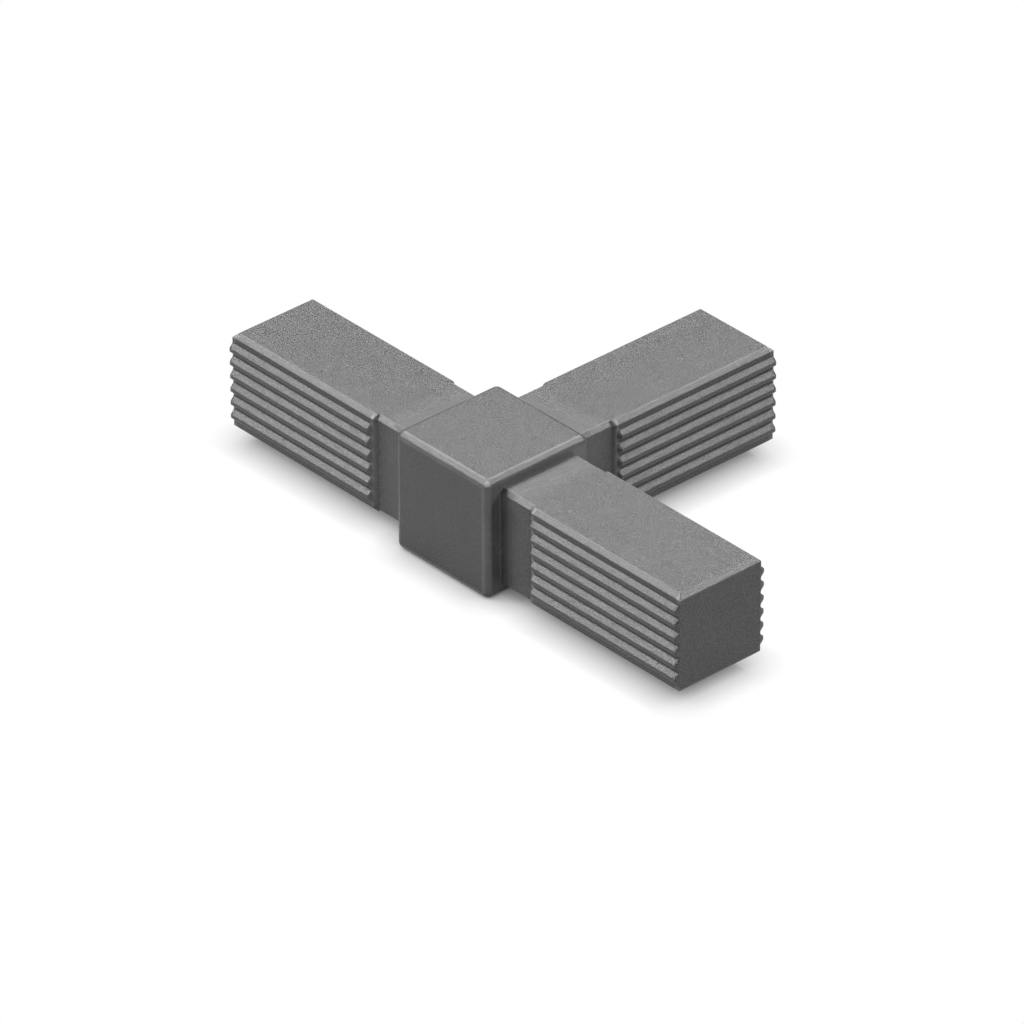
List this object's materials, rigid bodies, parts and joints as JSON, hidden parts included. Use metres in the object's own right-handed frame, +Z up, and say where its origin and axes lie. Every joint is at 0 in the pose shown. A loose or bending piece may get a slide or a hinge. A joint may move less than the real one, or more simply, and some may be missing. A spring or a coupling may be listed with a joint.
{
  "type": "tube t-connector",
  "caption": "Moulded T-shaped connector for square tube: a cube with rounded edges and ribbed spigots that press into the ends of the tubes.",
  "frame": {"origin": "centre of the cube's bottom face, which the part rests on", "axes": "+X along the straight run, +Y along the branch, +Z up"},
  "size_m": [0.121, 0.073, 0.025],
  "materials": {
    "plastic": "dark grey moulded plastic with a fine matt grain"
  },
  "bodies": {
    "root": {"t_connector": "plastic"}
  },
  "joints": []
}
